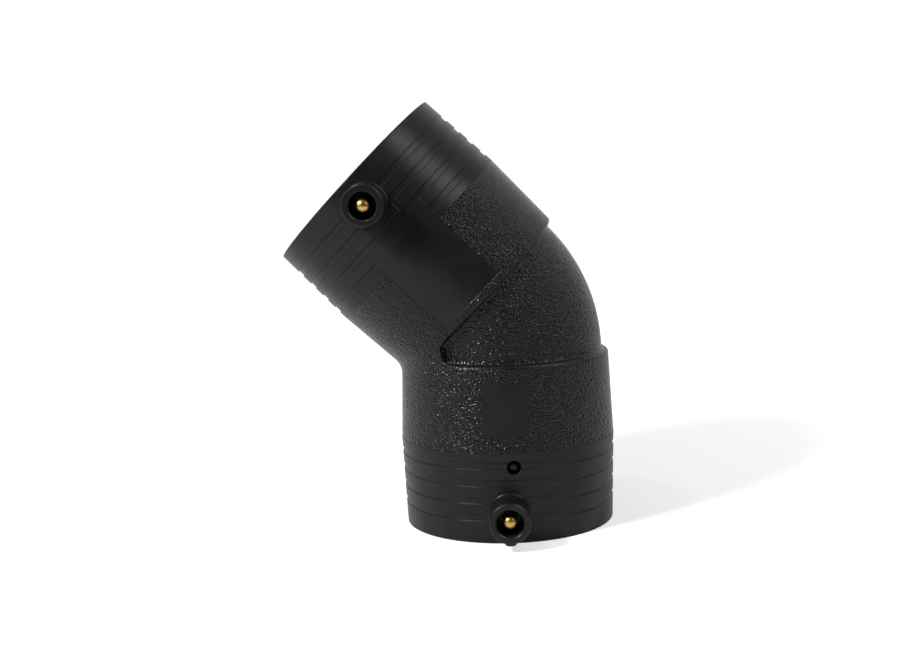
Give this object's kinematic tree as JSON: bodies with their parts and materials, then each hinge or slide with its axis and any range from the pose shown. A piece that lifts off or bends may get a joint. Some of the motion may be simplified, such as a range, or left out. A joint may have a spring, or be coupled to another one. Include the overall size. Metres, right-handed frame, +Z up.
{
  "type": "electrofusion elbow",
  "caption": "Electrofusion elbow that joins plastic pipes at an angle, with sockets that hold a heating wire, shrouded terminal pins and a fusion indicator.",
  "frame": {"origin": "centre of the lower socket's mouth", "axes": "+Z up along the lower socket's axis into the body, -Y the way the terminals point, -X the side the upper socket leans to"},
  "size_m": [0.1244, 0.0949, 0.1613],
  "materials": {
    "polyethylene": "satin, with a leather grain on the inner half of each socket and on the bend",
    "brass": "polished",
    "resistance_wire": "bright drawn copper alloy"
  },
  "bodies": {
    "root": {"body": "polyethylene", "terminal_pin_lower": "brass", "terminal_pin_upper": "brass", "heating_wire": "resistance_wire"}
  },
  "joints": []
}
